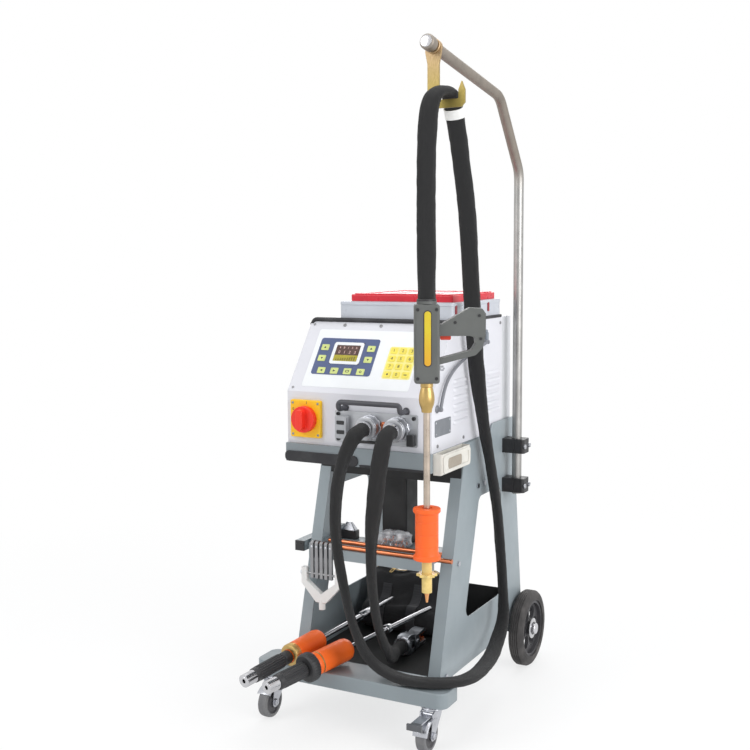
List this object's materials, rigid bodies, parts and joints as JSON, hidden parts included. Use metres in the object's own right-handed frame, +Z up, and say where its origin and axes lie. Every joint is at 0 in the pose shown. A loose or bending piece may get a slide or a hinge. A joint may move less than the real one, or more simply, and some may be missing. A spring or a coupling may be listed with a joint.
{
  "type": "dent pulling welder",
  "caption": "Trolley-mounted dent pulling welder with console, mast with cable hook, hanging pulling gun with slide hammer, thick leads and loose slide hammers in a bin.",
  "frame": {"origin": "on the floor, in the trolley's middle plane, between the front casters and the rear wheels", "axes": "+X to the side with the mast, +Y to the rear, +Z up"},
  "size_m": [0.5973, 0.8695, 1.5445],
  "materials": {
    "frame_paint": "satin blue-grey paint",
    "dark_paint": "satin dark paint",
    "housing_paint": "satin light grey paint",
    "rear_paint": "satin grey paint",
    "steel": "brushed",
    "zinc": "bright zinc",
    "chrome": "polished",
    "hook_zinc": "yellow zinc",
    "brass": "turned",
    "copper": "bright copper rod",
    "aluminium": "satin",
    "black_plastic": "matte",
    "grip_plastic": "ribbed matte",
    "gun_plastic": "matte grey",
    "grey_plastic": "matte grey",
    "cream_plastic": "matte cream",
    "orange_plastic": "gloss orange",
    "yellow_plastic": "gloss yellow",
    "red_plastic": "gloss red",
    "key_yellow": "matte yellow",
    "blue_foil": "matte blue foil",
    "display": "gloss window",
    "case_plastic": "frosted",
    "tyre": "matte",
    "caster_rubber": "matte grey",
    "clear_bag": "soft film",
    "black_fabric": "woven",
    "lead_sleeve": "woven sleeve",
    "core_steel": "laminated",
    "coil_copper": "enamelled winding",
    "board_green": "circuit board"
  },
  "bodies": {
    "trolley": {"side_plate_right": "frame_paint", "side_plate_left": "frame_paint", "lower_bin": "frame_paint", "front_beam": "frame_paint", "top_tray": "frame_paint", "mid_shelf": "frame_paint", "centre_column": "dark_paint", "side_pocket": "cream_plastic", "frame_bolts": "zinc", "rear_axle": "steel", "end_caps": "black_plastic", "hook_bar": "frame_paint", "mast_tube": "chrome", "mast_clamps": "black_plastic", "cable_hook": "hook_zinc", "caster_plates": "zinc", "front_chassis": "housing_paint", "housing_cover": "housing_paint", "rear_panel": "rear_paint", "mains_gland": "black_plastic", "keypad_overlay": "blue_foil", "display_window": "display", "console_keys": "key_yellow", "switch_plate": "yellow_plastic", "socket_plate": "aluminium", "lead_sockets": "aluminium", "panel_handle": "zinc", "transformer_core": "core_steel", "transformer_coil": "coil_copper", "control_board": "board_green", "case_body": "case_plastic", "gun_shells": "gun_plastic", "gun_nose": "brass", "gun_shaft": "steel", "gun_chuck": "brass", "puller_rods": "steel", "puller_grips": "grip_plastic", "comb_claws": "steel", "comb_yoke": "cream_plastic", "copper_rods": "copper", "parts_bag": "clear_bag", "tool_bag": "black_fabric", "earth_clamp": "grey_plastic", "gun_lead": "lead_sleeve", "earth_lead": "lead_sleeve"},
    "caster_right": {"caster_fork_right": "zinc"},
    "caster_left": {"caster_fork_left": "zinc"},
    "caster_wheel_right": {"caster_wheel_right": "caster_rubber"},
    "caster_wheel_left": {"caster_wheel_left": "caster_rubber"},
    "caster_brake": {"caster_brake": "zinc"},
    "rear_wheel_right": {"rear_tyre_right": "tyre", "rear_rim_right": "grey_plastic"},
    "rear_wheel_left": {"rear_tyre_left": "tyre", "rear_rim_left": "grey_plastic"},
    "switch_knob": {"switch_knob": "red_plastic"},
    "case_lid": {"case_lid": "red_plastic"},
    "gun_trigger": {"gun_trigger": "red_plastic"},
    "gun_hammer": {"gun_hammer": "orange_plastic"},
    "puller_sleeve_1": {"puller_sleeve_1": "orange_plastic"},
    "puller_sleeve_2": {"puller_sleeve_2": "orange_plastic"}
  },
  "joints": [
    {"name": "caster_right_swivel", "type": "hinge", "parent": "trolley", "child": "caster_right", "pos_m": [0.207, -0.27, 0.09], "axis": [0, 0, 1], "continuous": true},
    {"name": "caster_left_swivel", "type": "hinge", "parent": "trolley", "child": "caster_left", "pos_m": [-0.207, -0.27, 0.09], "axis": [0, 0, 1], "continuous": true},
    {"name": "caster_right_roll", "type": "hinge", "parent": "caster_right", "child": "caster_wheel_right", "pos_m": [0.207, -0.302, 0.0375], "axis": [1, 0, 0], "continuous": true},
    {"name": "caster_left_roll", "type": "hinge", "parent": "caster_left", "child": "caster_wheel_left", "pos_m": [-0.207, -0.302, 0.0375], "axis": [1, 0, 0], "continuous": true},
    {"name": "caster_brake_pedal", "type": "hinge", "parent": "caster_right", "child": "caster_brake", "pos_m": [0.207, -0.294, 0.081], "axis": [1, 0, 0], "range_deg": [0, 12]},
    {"name": "rear_right_roll", "type": "hinge", "parent": "trolley", "child": "rear_wheel_right", "pos_m": [0.217, 0.304, 0.1], "axis": [1, 0, 0], "continuous": true},
    {"name": "rear_left_roll", "type": "hinge", "parent": "trolley", "child": "rear_wheel_left", "pos_m": [-0.217, 0.304, 0.1], "axis": [1, 0, 0], "continuous": true},
    {"name": "switch_turn", "type": "hinge", "parent": "trolley", "child": "switch_knob", "pos_m": [-0.134, -0.244, 0.715], "axis": [0, 1, 0], "range_deg": [0, 90]},
    {"name": "lid_opening", "type": "hinge", "parent": "trolley", "child": "case_lid", "pos_m": [0.0365, 0.184, 0.98515], "axis": [-1, 0, 0], "range_deg": [0, 100]},
    {"name": "trigger_pull", "type": "slide", "parent": "trolley", "child": "gun_trigger", "axis": [0, 0, 1], "range_m": [0, 0.005], "stiffness_N_per_m": 600, "springref_m": -0.002},
    {"name": "hammer_slide", "type": "slide", "parent": "trolley", "child": "gun_hammer", "axis": [0, 0, 1], "range_m": [0, 0.2]},
    {"name": "sleeve_1_slide", "type": "slide", "parent": "trolley", "child": "puller_sleeve_1", "axis": [0.18, 0.9785, 0.1011], "range_m": [0, 0.15]},
    {"name": "sleeve_2_slide", "type": "slide", "parent": "trolley", "child": "puller_sleeve_2", "axis": [0.2816, 0.9545, 0.0986], "range_m": [0, 0.12]}
  ]
}
